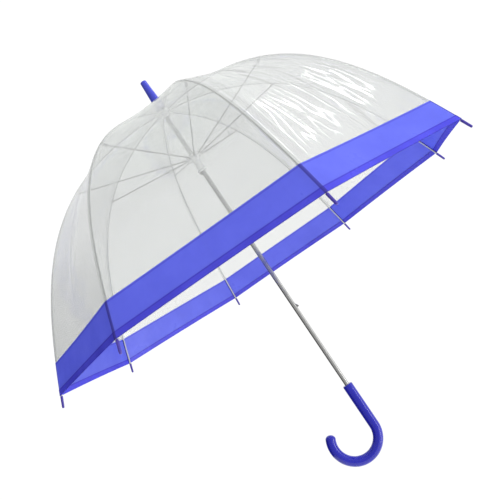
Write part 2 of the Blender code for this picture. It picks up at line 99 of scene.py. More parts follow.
# the shaft and what is on it
SHAFT_RADIUS = 0.0035
SHAFT_WALL = 0.0006
BORE_RADIUS = 0.0038
HUB_RADIUS = 0.0125
HUB_CHAMFER = 0.0006
NOTCH_HALF_HEIGHT = 0.0030
NOTCH_SLEEVE_DROP = 0.0090
SLEEVE_RADIUS = 0.0058
FLANGE_RADIUS = 0.0080
SLOT_FLOOR_RADIUS = 0.0076
RIB_SLOT_WIDTH = 0.0030
EYE_RADIUS = 0.0019
EYE_HALF_WIDTH = 0.0010
EYE_HOLE_RADIUS = 0.00075
WIRE_RADIUS = 0.00045
LUG_RADIUS = 0.0020
PIN_HOLE_RADIUS = 0.0009
STRETCHER_RADIUS = 0.0010
FORK_HALF_WIDTH = 0.0021
CATCH_LENGTH = 0.020
CATCH_HALF_WIDTH = 0.0008
CATCH_SLOT_WIDTH = 0.0022
KEYWAY_RADIUS = 0.0070
KEYWAY_WIDTH = 0.0026
EDGE_BEVEL = 0.0002
END_PLAY = 0.0003
TIP_RADIUS = 0.0019
TIP_BORE_RADIUS = 0.0015
TIP_BORE_HEIGHT = 0.0083
TIP_HEIGHT = 0.0170
FERRULE_SHOULDER_Z = PIVOT_Z + 0.024
HANDLE_RADIUS = 0.00775
HOOK_CENTRE_Z = -0.034
HOOK_RADIUS = 0.035
HOOK_SWEEP = math.radians(208)

# the camera, which looks along +Y and a little up, and is rolled
CAMERA_PLACE = Vector((-0.0080, -0.9758, PIVOT_Z - 0.3571))
CAMERA_TARGET = Vector((-0.0080, 0.0, PIVOT_Z - 0.2560))
CAMERA_ROLL = math.radians(-33.98)
CAMERA_LENS = 46.10

# the studio
WHITE = (1.0, 1.0, 1.0, 1.0)
FLOOR_Z = -1.5
FLOOR_RADIUS = 4.0


def rib_bezier(t):
    """Points (out, up) of the rib's centreline, from its pivot, for an array of parameters."""
    t = np.asarray(t, float)[..., None]
    p = np.array(RIB_CONTROL)
    return (1 - t) ** 3 * p[0] + 3 * t * (1 - t) ** 2 * p[1] + 3 * t**2 * (1 - t) * p[2] + t**3 * p[3]


BEZIER_STEPS = np.linspace(0, 1, 2001)
BEZIER_POINTS = rib_bezier(BEZIER_STEPS)
ARC_LENGTHS = np.r_[0, np.cumsum(np.linalg.norm(np.diff(BEZIER_POINTS, axis=0), axis=1))]
HEM_ARC = float(ARC_LENGTHS[-1])


# ---------------------------------------------------------------- node helpers


class Nodes:
    """A material's or a world's node tree, with short ways to add and join nodes."""

    def __init__(self, owner, output="ShaderNodeOutputMaterial"):
        owner.use_nodes = True
        self.owner = owner
        self.tree = owner.node_tree
        self.tree.nodes.clear()
        self.output = self.add(output)

    def add(self, kind, **values):
        """A node, with properties set by name and inputs set by a dict called inputs."""
        inputs = values.pop("inputs", {})
        node = self.tree.nodes.new(kind)
        for key, value in values.items():
            setattr(node, key, value)
        for key, value in inputs.items():
            self.feed(node, key, value)
        return node

    def feed(self, node, key, value):
        """Set an input, or link it to another node's output."""
        if isinstance(value, bpy.types.NodeSocket):
            self.tree.links.new(value, node.inputs[key])
        else:
            node.inputs[key].default_value = value

    def math(self, operation, first, second=0.0, clamp=False):
        """A Math node's value."""
        node = self.add("ShaderNodeMath", operation=operation, use_clamp=clamp)
        self.feed(node, 0, first)
        self.feed(node, 1, second)
        return node.outputs[0]

    def dot(self, vector, way):
        """How far a direction points one way."""
        inputs = {0: vector, 1: way}
        return self.add("ShaderNodeVectorMath", operation="DOT_PRODUCT", inputs=inputs).outputs["Value"]

    def span(self, value, low, high, to_low=0.0, to_high=1.0, shape="SMOOTHSTEP"):
        """A value mapped from one range to another, smoothly unless a shape is given."""
        inputs = {"Value": value, "From Min": low, "From Max": high, "To Min": to_low, "To Max": to_high}
        return self.add("ShaderNodeMapRange", interpolation_type=shape, inputs=inputs).outputs[0]

    def noise(self, scale, detail, roughness, stretch=None):
        """A Noise node's value, in object space."""
        place = self.add("ShaderNodeTexCoord").outputs["Object"]
        if stretch:
            place = self.add("ShaderNodeMapping", inputs={"Vector": place, "Scale": stretch}).outputs[0]
        inputs = {"Vector": place, "Scale": scale, "Detail": detail, "Roughness": roughness}
        return self.add("ShaderNodeTexNoise", inputs=inputs).outputs[0]

    def blend(self, share, first, second):
        """A colour between two."""
        inputs = {0: share, 6: first, 7: second}
        return self.add("ShaderNodeMix", data_type="RGBA", inputs=inputs).outputs[2]

    def mix(self, share, first, second):
        """A shader between two."""
        return self.add("ShaderNodeMixShader", inputs={0: share, 1: first, 2: second}).outputs[0]

    def shader(self, kind, **inputs):
        """A shader, with its inputs set by name, with low lines for spaces."""
        named = {key.replace("_", " "): value for key, value in inputs.items()}
        return self.add("ShaderNode" + kind, inputs=named).outputs[0]

    def bump(self, height, strength, distance, normal=None):
        """A Bump node's normal."""
        inputs = {"Height": height, "Strength": strength, "Distance": distance}
        if normal:
            inputs["Normal"] = normal
        return self.add("ShaderNodeBump", inputs=inputs).outputs[0]

    def shade(self, shader):
        """Send a shader to the output, and give back the material or the world."""
        self.feed(self.output, "Surface", shader)
        return self.owner


def material_nodes(name):
    """The empty node tree of a new material."""
    return Nodes(bpy.data.materials.new(name))


def rgba(red, green, blue):
    """A colour for a socket."""
    return (red, green, blue, 1.0)


def film_lines(nodes):
    """Where a point lies on the film: its distance from the rib and its length along it, in metres."""
    uv = nodes.add("ShaderNodeUVMap", uv_map="film").outputs[0]
    parts = nodes.add("ShaderNodeSeparateXYZ", inputs={"Vector": uv})
    return parts.outputs["X"], parts.outputs["Y"]


def round_axis(nodes):
    """The level direction of a point from the shaft's axis."""
    place = nodes.add("ShaderNodeTexCoord").outputs["Object"]
    level = nodes.add("ShaderNodeMapping", inputs={"Vector": place, "Scale": (1.0, 1.0, 0.0)}).outputs[0]
    return nodes.add("ShaderNodeVectorMath", operation="NORMALIZE", inputs={0: level}).outputs[0]


def film_folds(nodes, direction, along, scale, reach):
    """A noise drawn out along the gores, the same on both sides of every edge between sectors."""
    parts = nodes.add("ShaderNodeSeparateXYZ", inputs={0: direction})
    run = nodes.math("MULTIPLY", along, reach)
    inputs = {"X": parts.outputs["X"], "Y": parts.outputs["Y"], "Z": run}
    vector = nodes.add("ShaderNodeCombineXYZ", inputs=inputs).outputs[0]
    inputs = {"Vector": vector, "Scale": scale, "Detail": 0.5, "Roughness": 0.5, "Distortion": 0.9}
    return nodes.add("ShaderNodeTexNoise", inputs=inputs).outputs[0]


def clear_film():
    """Clear PVC, a little milky, slack and creased mostly in one gore, with two lines along each weld."""
    nodes = material_nodes("clear_film")
    across, along = film_lines(nodes)
    side = nodes.math("ABSOLUTE", across)
    weld = nodes.span(side, 0.0018, 0.0024, 1.0, 0.0)
    lip = nodes.math("ABSOLUTE", nodes.math("SUBTRACT", side, WELD_HALF_WIDTH))
    lip = nodes.span(lip, 0.0001, 0.0005, 1.0, 0.0)
    cloud = nodes.noise(9.0, 4.0, 0.55)
    facing = nodes.add("ShaderNodeLayerWeight", inputs={"Blend": 0.42}).outputs["Facing"]
    haze = nodes.span(facing, 0.05, 1.0, 0.20, 0.29)
    haze = nodes.math("ADD", haze, nodes.math("MULTIPLY", nodes.math("SUBTRACT", cloud, 0.5), 0.06))
    haze = nodes.math("ADD", haze, nodes.math("MULTIPLY", weld, 0.04))
    haze = nodes.math("ADD", haze, nodes.math("MULTIPLY", lip, 0.15), clamp=True)
    direction = round_axis(nodes)
    toward = nodes.dot(direction, (math.cos(CREASED_AZIMUTH), math.sin(CREASED_AZIMUTH), 0.0))
    creased = nodes.span(toward, 0.80, 0.95, 0.02, 1.0)
    slack = nodes.math("MULTIPLY", nodes.span(side, 0.004, 0.020), nodes.span(along, 0.08, 0.25))
    slack = nodes.math("MULTIPLY", slack, creased)
    folds = nodes.math("MULTIPLY", film_folds(nodes, direction, along, 10.0, 0.65), slack)
    normal = nodes.bump(folds, 1.0, 0.0085)
    normal = nodes.bump(lip, 0.60, 0.0004, normal)
    pressed = nodes.math("MULTIPLY", lip, 0.75)
    colour = nodes.blend(pressed, rgba(0.775, 0.788, 0.776), rgba(0.30, 0.31, 0.31))
    milk = nodes.shader("BsdfPrincipled", Base_Color=colour, Roughness=0.5, Specular_IOR_Level=0.1)
    glow = nodes.shader("BsdfTranslucent", Color=colour)
    crown = nodes.span(along, 0.06, 0.22, 1.0, 0.0)
    clear = nodes.blend(crown, rgba(0.963, 0.967, 0.963), rgba(0.950, 0.973, 0.951))
    through = nodes.shader("BsdfTransparent", Color=clear)
    gloss = nodes.shader("BsdfAnisotropic", Color=WHITE, Roughness=0.09, Normal=normal)
    fresnel = nodes.add("ShaderNodeFresnel", inputs={"IOR": 1.46}).outputs[0]
    film = nodes.mix(haze, through, nodes.mix(0.5, milk, glow))
    return nodes.shade(nodes.mix(nodes.math("MULTIPLY", fresnel, 0.45), film, gloss))


def border_film(name, colour, deep, opacity, line_arc):
    """Coloured PVC: a little see-through, with a fine grain and a weld line at a length along the rib."""
    nodes = material_nodes(name)
    across, along = film_lines(nodes)
    top = nodes.math("ABSOLUTE", nodes.math("SUBTRACT", along, line_arc))
    top = nodes.span(top, 0.0003, 0.0010, 1.0, 0.0)
    side = nodes.math("ABSOLUTE", across)
    weld = nodes.span(side, 0.0016, 0.0024, 1.0, 0.0)
    mottle = nodes.noise(18.0, 4.0, 0.6)
    tint = nodes.blend(nodes.span(mottle, 0.30, 0.70), colour, deep)
    tint = nodes.blend(nodes.math("MULTIPLY", top, 0.55), tint, rgba(0.060, 0.045, 0.60))
    tint = nodes.blend(nodes.math("MULTIPLY", weld, 0.75), tint, rgba(0.045, 0.030, 0.42))
    folds = film_folds(nodes, round_axis(nodes), along, 26.0, 0.5)
    grain = nodes.noise(900.0, 2.0, 0.5)
    normal = nodes.bump(folds, 0.30, 0.0010)
    normal = nodes.bump(grain, 0.15, 0.0002, normal)
    rough = nodes.span(mottle, 0.25, 0.75, 0.26, 0.38)
    matt = nodes.shader("BsdfDiffuse", Color=tint, Normal=normal)
    glow = nodes.shader("BsdfTranslucent", Color=tint)
    gloss = nodes.shader("BsdfAnisotropic", Color=WHITE, Roughness=rough, Normal=normal)
    lit = nodes.mix(0.035, nodes.mix(0.42, matt, glow), gloss)
    through = nodes.shader("BsdfTransparent", Color=rgba(0.45, 0.47, 0.95))
    facing = nodes.add("ShaderNodeLayerWeight", inputs={"Blend": 0.35}).outputs["Facing"]
    return nodes.shade(nodes.mix(nodes.span(facing, 0.0, 1.0, opacity, 0.98), through, lit))


def moulded_plastic(name, colour, deep, roughness, coat):
    """Glossy moulded plastic, with a faint flow pattern and a trace of handling wear."""
    nodes = material_nodes(name)
    flow = nodes.noise(35.0, 4.0, 0.55, stretch=(1.0, 1.0, 0.3))
    scuffs = nodes.noise(150.0, 3.0, 0.6, stretch=(1.0, 0.25, 1.0))
    tint = nodes.blend(nodes.span(flow, 0.35, 0.65), colour, deep)
    rough = nodes.span(scuffs, 0.50, 0.80, roughness, roughness + 0.08)
    normal = nodes.bump(flow, 0.05, 0.0006)
    normal = nodes.bump(scuffs, 0.01, 0.00002, normal)
    base = {"Base_Color": tint, "Roughness": rough, "Normal": normal, "Specular_IOR_Level": 0.28}
    return nodes.shade(nodes.shader("BsdfPrincipled", **base, Coat_Weight=coat, Coat_Roughness=0.13))


def plated_steel(name, colour, roughness, brushed):
    """Plated steel, drawn along its length, with faint smudges."""
    nodes = material_nodes(name)
    drawn = nodes.noise(brushed, 2.0, 0.5, stretch=(1.0, 1.0, 0.02))
    smudge = nodes.noise(60.0, 4.0, 0.6)
    tint = nodes.blend(nodes.span(smudge, 0.40, 0.75), colour, rgba(*(0.86 * part for part in colour[:3])))
    rough = nodes.span(smudge, 0.35, 0.75, roughness, roughness + 0.12)
    normal = nodes.bump(drawn, 0.04, 0.00002)
    metal = nodes.shader("BsdfPrincipled", Base_Color=tint, Roughness=rough, Metallic=1.0, Normal=normal)
    return nodes.shade(metal)


def coated_steel(name, colour):
    """White-coated steel wire, a little uneven, in the colour it is given; for the ribs that colour is a
    darkened grey, which is painted shade.
    """
    nodes = material_nodes(name)
    coat = nodes.noise(500.0, 3.0, 0.6)
    wear = nodes.noise(70.0, 5.0, 0.7)
    tint = nodes.blend(nodes.span(wear, 0.62, 0.74), colour, rgba(0.42, 0.42, 0.41))
    rough = nodes.span(coat, 0.3, 0.7, 0.28, 0.42)
    normal = nodes.bump(coat, 0.10, 0.0001)
    paint = nodes.shader("BsdfPrincipled", Base_Color=tint, Roughness=rough, Metallic=0.10, Normal=normal)
    return nodes.shade(paint)


BORDER_LINE_ARC = BORDER_ARC + 0.0022
HEM_LINE_ARC = HEM_ARC - HEM_STRIP + 0.0010
BORDER_BLUES = rgba(0.205, 0.245, 0.93), rgba(0.175, 0.210, 0.88)
HEM_BLUES = rgba(0.120, 0.115, 0.92), rgba(0.090, 0.080, 0.84)
HANDLE_BLUES = rgba(0.014, 0.015, 0.42), rgba(0.011, 0.012, 0.37)
FERRULE_BLUES = rgba(0.065, 0.080, 0.67), rgba(0.050, 0.064, 0.58)
TIP_BLUES = rgba(0.085, 0.055, 0.42), rgba(0.065, 0.045, 0.34)
OFF_WHITES = rgba(0.82, 0.83, 0.81), rgba(0.74, 0.75, 0.73)
MATERIALS = {
    "clear": clear_film(),
    "border": border_film("border_film", *BORDER_BLUES, 0.90, BORDER_LINE_ARC),
    "hem": border_film("hem_film", *HEM_BLUES, 0.97, HEM_LINE_ARC),
    "handle": moulded_plastic("handle_blue", *HANDLE_BLUES, 0.12, 0.6),
    "ferrule": moulded_plastic("ferrule_blue", *FERRULE_BLUES, 0.16, 0.6),
    "tip": moulded_plastic("tip_blue", *TIP_BLUES, 0.25, 0.2),
    "white": moulded_plastic("white_plastic", *OFF_WHITES, 0.32, 0.1),
    "chrome": plated_steel("chrome", rgba(0.55, 0.55, 0.54), 0.16, 900.0),
    "spring": plated_steel("spring_steel", rgba(0.42, 0.42, 0.415), 0.24, 1500.0),
    # the ribs' white coat, darkened to a mid grey: painted shade on the wires
    "rib": coated_steel("rib_steel", rgba(0.56, 0.57, 0.56)),
    "stretcher": plated_steel("stretcher_steel", rgba(0.22, 0.22, 0.215), 0.26, 1500.0),
}


# ---------------------------------------------------------------- shapes


def rib_at(arc):
    """Points and unit tangents (radius, height) for an array of lengths along the rib."""
    arc = np.asarray(arc, float)
    inside = np.clip(arc, 0, HEM_ARC)
    t = np.interp(inside, ARC_LENGTHS, BEZIER_STEPS)
    tangent = rib_bezier(np.minimum(t + 0.001, 1)) - rib_bezier(np.maximum(t - 0.001, 0))
    tangent /= np.linalg.norm(tangent, axis=-1, keepdims=True)
    point = rib_bezier(t) + np.array([PIVOT_RADIUS, PIVOT_Z]) + tangent * (arc - inside)[..., None]
    return point, tangent


def canopy_surface(arc, turn, azimuth):
    """Points of the film's middle, for arrays of lengths along the rib and turns from the rib.

    A gore is a chord between two ribs that sags inwards a little, with its hem a shallow arch.
    """
    soft = 0.006
    share = (np.sqrt((turn / HALF_GORE) ** 2 + soft**2) - soft) / (math.sqrt(1 + soft**2) - soft)
    bump = 1 - (1 - share) ** 2
    run = np.where(arc > 0, arc * (1 - HEM_RISE / HEM_ARC * bump), arc)
    reach = np.clip(run / HEM_ARC, 0, 1)
    point, tangent = rib_at(np.maximum(run, 0))
    sag = GORE_SAG * bump * np.sin(math.pi * reach) ** 0.5
    lift = CROWN_LIFT * np.maximum(0, 1 - np.maximum(run, 0) / CROWN_LIFT_ARC)
    radius = point[..., 0] - tangent[..., 1] * (FILM_OFFSET - sag) + np.minimum(run, 0)
    height = point[..., 1] + tangent[..., 0] * (FILM_OFFSET - sag) + lift
    radius = radius * math.cos(HALF_GORE) / np.cos(HALF_GORE * (1 - share))
    angle = azimuth + turn
    return np.stack([radius * np.cos(angle), radius * np.sin(angle), height], -1)


def ripple(points, turn, arc):
    """How far the film stands out of its smooth shape: slack folds between the ribs, in metres."""
    away = np.sin(np.abs(turn) / HALF_GORE * math.pi / 2) ** 1.5
    fade = np.clip(arc / 0.03, 0, 1) * np.clip((BORDER_ARC - arc) / 0.10, 0, 1) * away
    found = np.zeros(points.shape[:-1])
    for index in np.ndindex(found.shape):
        place = Vector(points[index])
        broad = noise.noise(place * RIPPLE_SCALE)
        folds = noise.noise(place * Vector(CREASE_SCALE))
        found[index] = RIPPLE_HEIGHT * broad + CREASE_HEIGHT * (1 - abs(folds) * 4)
    return found * fade


def film_grid(arcs, turns, azimuth):
    """Lengths, turns, points and outward normals, on a grid of lengths along the rib and turns from it."""
    arc, turn = np.meshgrid(arcs, turns, indexing="ij")
    smooth = canopy_surface(arc, turn, azimuth)
    above = canopy_surface(arc - SLOPE_STEP, turn, azimuth)
    below = canopy_surface(arc + SLOPE_STEP, turn, azimuth)
    left = canopy_surface(arc, turn + SLOPE_STEP, azimuth)
    right = canopy_surface(arc, turn - SLOPE_STEP, azimuth)
    normal = np.cross(below - above, left - right)
    normal /= np.linalg.norm(normal, axis=-1, keepdims=True)
    points = smooth + normal * ripple(smooth, turn, arc)[..., None]
    return arc, turn, points, normal


def film_turns(columns):
    """Turns across a sector, closer together at its rib, where the film bends."""
    side = np.linspace(0, 1, columns + 1)[1:] ** 1.5
    return np.r_[-side[::-1], 0, side] * HALF_GORE


def sheet_faces(rows, columns):
    """Faces over a grid of points and a second grid behind it: the outside, the inside and the rim."""
    count = rows * columns
    number = np.arange(count).reshape(rows, columns)
    corners = [number[:-1, :-1], number[1:, :-1], number[1:, 1:], number[:-1, 1:]]
    outside = np.stack(corners, -1).reshape(-1, 4)
    inside = outside[:, [0, 3, 2, 1]] + count
    ring = np.r_[number[0, :], number[1:, -1], number[-1, -2::-1], number[-2:0:-1, 0]]
    follow = np.roll(ring, -1)
    rim = np.stack([ring, follow, follow + count, ring + count], -1)
    return np.concatenate([outside, inside, rim]).tolist()


def add_film_map(mesh, points, arc, turn):
    """Give each corner its distance from the rib and its length along it."""
    width = np.linalg.norm(points[..., :2], axis=-1) * np.sin(turn)
    place = np.stack([width, arc], -1).reshape(-1, 2)
    place = np.concatenate([place, place])
    corners = np.empty(len(mesh.loops), int)
    mesh.loops.foreach_get("vertex_index", corners)
    layer = mesh.uv_layers.new(name="film")
    layer.data.foreach_set("uv", place[corners].astype("f4").ravel())


def sheet_object(name, arcs, azimuth, thickness, columns):
    """A sector of film about a rib: a thin closed sheet, smooth across its edges, and its area."""
    arc, turn, points, normal = film_grid(arcs, film_turns(columns), azimuth)
    half = normal * (thickness / 2)
    vertices = np.concatenate([(points + half).reshape(-1, 3), (points - half).reshape(-1, 3)])
    mesh = bpy.data.meshes.new(name)
    mesh.from_pydata(vertices.tolist(), [], sheet_faces(*arc.shape))
    add_film_map(mesh, points, arc, turn)
    shading = np.cross(np.gradient(points, axis=0), np.gradient(points, axis=1))
    shading /= np.linalg.norm(shading, axis=-1, keepdims=True)
    shading[:, [0, -1]] = normal[:, [0, -1]]
    both = np.concatenate([shading.reshape(-1, 3), -shading.reshape(-1, 3)])
    mesh.shade_smooth()
    mesh.normals_split_custom_set_from_vertices(both.tolist())
    down = np.diff(points, axis=0)[:, :-1]
    over = np.diff(points, axis=1)[:-1]
    area = np.linalg.norm(np.cross(down, over), axis=-1).sum()
    return link(name, mesh), float(area)


def link(name, mesh):
    """An object in the scene."""
    piece = bpy.data.objects.new(name, mesh)
    bpy.context.scene.collection.objects.link(piece)
    return piece


def bmesh_object(name, build):
    """An object whose mesh a function builds."""
    shape = bmesh.new()
    build(shape)
    mesh = bpy.data.meshes.new(name)
    shape.to_mesh(mesh)
    shape.free()
    return link(name, mesh)


def finished(piece, material, body, *nodes, sharp=35):
    """Shade a piece, give it its material, and let it ride on a body in place of CAD nodes."""
    piece.data.materials.clear()
    piece.data.materials.append(MATERIALS[material])
    if sharp:
        piece.data.shade_smooth()
        piece.data.set_sharp_from_angle(angle=math.radians(sharp))
    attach(piece, body)
    if nodes:
        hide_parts(*nodes)


def apply_modifiers(piece):
    """Replace a piece's mesh with its evaluated one."""
    graph = bpy.context.evaluated_depsgraph_get()
    mesh = bpy.data.meshes.new_from_object(piece.evaluated_get(graph))
    piece.modifiers.clear()
    piece.data = mesh
    return piece


def rounded_profile(profile, radius, steps=4):
    """A profile of (radius, height) with its inner corners rounded by short arcs."""
    result = [profile[0]]
    for before, corner, after in zip(profile, profile[1:], profile[2:]):
        corner = Vector(corner)
        one, two = Vector(before) - corner, Vector(after) - corner
        reach = min(radius, one.length * 0.45, two.length * 0.45)
        start, end = corner + one.normalized() * reach, corner + two.normalized() * reach
        for step in range(steps + 1):
            t = step / steps
            result.append(tuple((1 - t) ** 2 * start + 2 * t * (1 - t) * corner + t**2 * end))
    result.append(profile[-1])
    return result


def turned(name, profile, steps, closed=False):
    """Turn a profile of (radius, height), which runs down its outer side, about Z."""
    rings = []
    vertices, faces = [], []
    for radius, height in profile:
        if radius < 1e-7:
            rings.append([len(vertices)] * steps)
            vertices.append((0.0, 0.0, height))
            continue
        rings.append(list(range(len(vertices), len(vertices) + steps)))
        for step in range(steps):
            angle = 2 * math.pi * step / steps
            vertices.append((radius * math.cos(angle), radius * math.sin(angle), height))
    pairs = list(zip(rings, rings[1:])) + ([(rings[-1], rings[0])] if closed else [])
    for upper, lower in pairs:
        for step in range(steps):
            after = (step + 1) % steps
            face = list(dict.fromkeys((upper[step], lower[step], lower[after], upper[after])))
            if len(face) > 2:
                faces.append(face)
    mesh = bpy.data.meshes.new(name)
    mesh.from_pydata(vertices, [], faces)
    return link(name, mesh)


def swept(name, points, radii, sides):
    """A round rod along points in the XZ plane, with closed ends."""
    points = [Vector(p) for p in points]
    vertices, faces = [], []
    for number, point in enumerate(points):
        before = points[max(number - 1, 0)]
        after = points[min(number + 1, len(points) - 1)]
        tangent = (after - before).normalized()
        side = Vector((0.0, 1.0, 0.0))
        up = tangent.cross(side)
        for step in range(sides):
            angle = 2 * math.pi * step / sides
            vertices.append(point + (side * math.cos(angle) + up * math.sin(angle)) * radii[number])
    for ring in range(len(points) - 1):
        for step in range(sides):
            after = (step + 1) % sides
            low, high = ring * sides, (ring + 1) * sides
            faces.append((low + step, low + after, high + after, high + step))
    faces.append(tuple(reversed(range(sides))))
    faces.append(tuple(range((len(points) - 1) * sides, len(points) * sides)))
    mesh = bpy.data.meshes.new(name)
    mesh.from_pydata([tuple(v) for v in vertices], [], faces)
    shape = bmesh.new()
    shape.from_mesh(mesh)
    bmesh.ops.recalc_face_normals(shape, faces=shape.faces)
    shape.to_mesh(mesh)
    shape.free()
    return link(name, mesh)


def flat_outline(name, outline, half_width):
    """A flat outline of (x, z), given a thickness across Y and softened edges."""

    def build(shape):
        ring = [shape.verts.new((x, -half_width, z)) for x, z in outline]
        face = shape.faces.new(ring)
        grown = bmesh.ops.extrude_face_region(shape, geom=[face])
        moved = [v for v in grown["geom"] if isinstance(v, bmesh.types.BMVert)]
        bmesh.ops.translate(shape, vec=(0.0, 2 * half_width, 0.0), verts=moved)
        bmesh.ops.recalc_face_normals(shape, faces=shape.faces)

    piece = bmesh_object(name, build)
    modifier = piece.modifiers.new("Edges", "BEVEL")
    modifier.width = EDGE_BEVEL
    modifier.segments = 2
    modifier.limit_method = "ANGLE"
    return apply_modifiers(piece)


def cut(piece, *tools, operation="DIFFERENCE"):
    """Cut a piece by others, or join others to it, and remove them."""
    for tool in tools:
        modifier = piece.modifiers.new("Boolean", "BOOLEAN")
        modifier.operation = operation
        modifier.object = tool
        modifier.solver = "EXACT"
        bpy.context.view_layer.update()
        apply_modifiers(piece)
        bpy.data.objects.remove(tool, do_unlink=True)


def slot_box(azimuth, inner, outer, width, low, high):
    """A box that reaches out from the shaft's axis at an azimuth."""

    def build(shape):
        bmesh.ops.create_cube(shape, size=1.0)
        bmesh.ops.scale(shape, vec=(outer - inner, width, high - low), verts=shape.verts)
        bmesh.ops.translate(shape, vec=((outer + inner) / 2, 0, (low + high) / 2), verts=shape.verts)
        turn = Matrix.Rotation(azimuth, 3, "Z")
        bmesh.ops.rotate(shape, cent=(0, 0, 0), matrix=turn, verts=shape.verts)

    return bmesh_object("slot", build)


def cut_rib_slots(hub, height, reach):
    """Cut the eight slots that the ribs or the stretchers turn in, up and down from a height."""
    outer = HUB_RADIUS + 0.004
    for azimuth in AZIMUTHS:
        box = slot_box(azimuth, SLOT_FLOOR_RADIUS, outer, RIB_SLOT_WIDTH, height - reach, height + reach)
        cut(hub, box)


def round_plug(name, centre, radius, half_width, sides=20):
    """A round plug across Y."""
    profile = [(0.0, half_width), (radius, half_width), (radius, -half_width), (0.0, -half_width)]
    plug = turned(name, profile, sides)
    lay = Matrix.Rotation(math.pi / 2, 4, "X")
    plug.data.transform(Matrix.Translation((centre[0], 0.0, centre[1])) @ lay)
    return plug


def drill(piece, centre, radius, half_length=0.003):
    """Cut a round hole across Y right through a piece."""
    cut(piece, round_plug("hole", centre, radius, half_length))


def place_copy(source, name, azimuth):
    """A copy of a piece built in the XZ plane, turned to an azimuth, with its own mesh."""
    mesh = source.data.copy()
    mesh.transform(Matrix.Rotation(azimuth, 4, "Z"))
    return link(name, mesh)


# ---------------------------------------------------------------- the shaft and what is on it


def catch_places():
    """Each catch's name, azimuth, ledge height and the way from its pivot to its ledge."""
    for name, way in (("top_catch", 1), ("bottom_catch", -1)):
        joint = JOINTS[name + "_press"]
        axis = joint["axis"]
        azimuth = math.atan2(axis[0] * way, -axis[1] * way)
        yield name, azimuth, joint["pos_m"][2] + way * CATCH_LENGTH, way


def build_shaft():
    """The plated tube, with its two catch slots."""
    inner = SHAFT_RADIUS - SHAFT_WALL
    profile = [(inner, SHAFT_HIGH), (SHAFT_RADIUS, SHAFT_HIGH)]
    profile += [(SHAFT_RADIUS, SHAFT_LOW), (inner, SHAFT_LOW)]
    tube = turned("shaft_tube", profile, 64, closed=True)
    for _, azimuth, ledge, way in catch_places():
        low, high = sorted((ledge + way * 0.0008, ledge - way * 0.010))
        cut(tube, slot_box(azimuth, 0.001, 0.005, CATCH_SLOT_WIDTH, low, high))
    finished(tube, "chrome", "frame", "shaft")


def build_catches():
    """Bent spring levers: a ramp, a rounded nose and a square ledge."""
    nose = ((0.0008, 0.0), (0.0060, 0.0), (0.0064, 0.0004), (0.0064, 0.0016), (0.0060, 0.0024))
    ramp = ((0.0031, 0.0070), (0.0022, 0.0080))
    foot = 0.0010
    for name, azimuth, ledge, way in catch_places():
        outline = [(out, ledge - way * down) for out, down in nose + ramp]
        pivot = ledge - way * CATCH_LENGTH
        for step in range(13):
            angle = math.pi * step / 12
            outline.append((foot * math.cos(angle), pivot - way * foot * math.sin(angle)))
        lever = flat_outline(name + "_spring", outline, CATCH_HALF_WIDTH)
        lever.data.transform(Matrix.Rotation(azimuth, 4, "Z"))
        finished(lever, "spring", name, name)


def build_handle():
    """The crook: a bevelled mouth, a straight grip, a hook and a rounded end."""
    points = [(0.0, 0.0, HANDLE_TOP_Z - drop) for drop in (0.0, 0.0004, 0.0009, 0.0016)]
    radii = [0.86, 0.93, 0.975, 1.0]
    # the grip
    for step in range(1, 12):
        points.append((0.0, 0.0, HANDLE_TOP_Z + (HOOK_CENTRE_Z - HANDLE_TOP_Z) * step / 12))
        radii.append(1.0)
    # the hook
    turns = 72
    for step in range(turns + 1):
        angle = HOOK_SWEEP * step / turns
        x = HOOK_RADIUS * (math.cos(angle) - 1)
        points.append((x, 0.0, HOOK_CENTRE_Z - HOOK_RADIUS * math.sin(angle)))
        radii.append(1.0)
    # the rounded end, a little flatter than a half ball
    forward = Vector((-math.sin(HOOK_SWEEP), 0.0, -math.cos(HOOK_SWEEP)))
    last = Vector(points[-1])
    flatness = 0.8
    for step in range(1, 11):
        angle = math.radians(8.6 * step)
        points.append(tuple(last + forward * HANDLE_RADIUS * math.sin(angle) * flatness))
        radii.append(math.cos(angle))
    crook = swept("crook_handle", points, [HANDLE_RADIUS * r for r in radii], 48)
    top, bottom = HANDLE_TOP_Z + 0.01, SHAFT_LOW - END_PLAY
    profile = [(0.0, top), (BORE_RADIUS, top), (BORE_RADIUS, bottom), (0.0, bottom)]
    cut(crook, turned("socket", profile, 48))
    finished(crook, "handle", "frame", "handle", sharp=28)


def build_ferrule():
    """The tapered cap on the crown, blunt and rounded at its end."""
    outer = [
        (0.0, FERRULE_END_Z),
        (0.0036, FERRULE_END_Z),
        (0.00525, FERRULE_END_Z - 0.0010),
        (0.00527, FERRULE_END_Z - 0.0030),
        (0.0070, FERRULE_SHOULDER_Z),
        (0.0080, FERRULE_BASE_Z + 0.0006),
        (0.0077, FERRULE_BASE_Z),
        (BORE_RADIUS, FERRULE_BASE_Z),
    ]
    profile = rounded_profile(outer, 0.0011)
    profile += [(BORE_RADIUS, SHAFT_HIGH + END_PLAY), (0.0, SHAFT_HIGH + END_PLAY)]
    cap = turned("ferrule_cap", profile, 64)
    finished(cap, "ferrule", "frame", "ferrule")


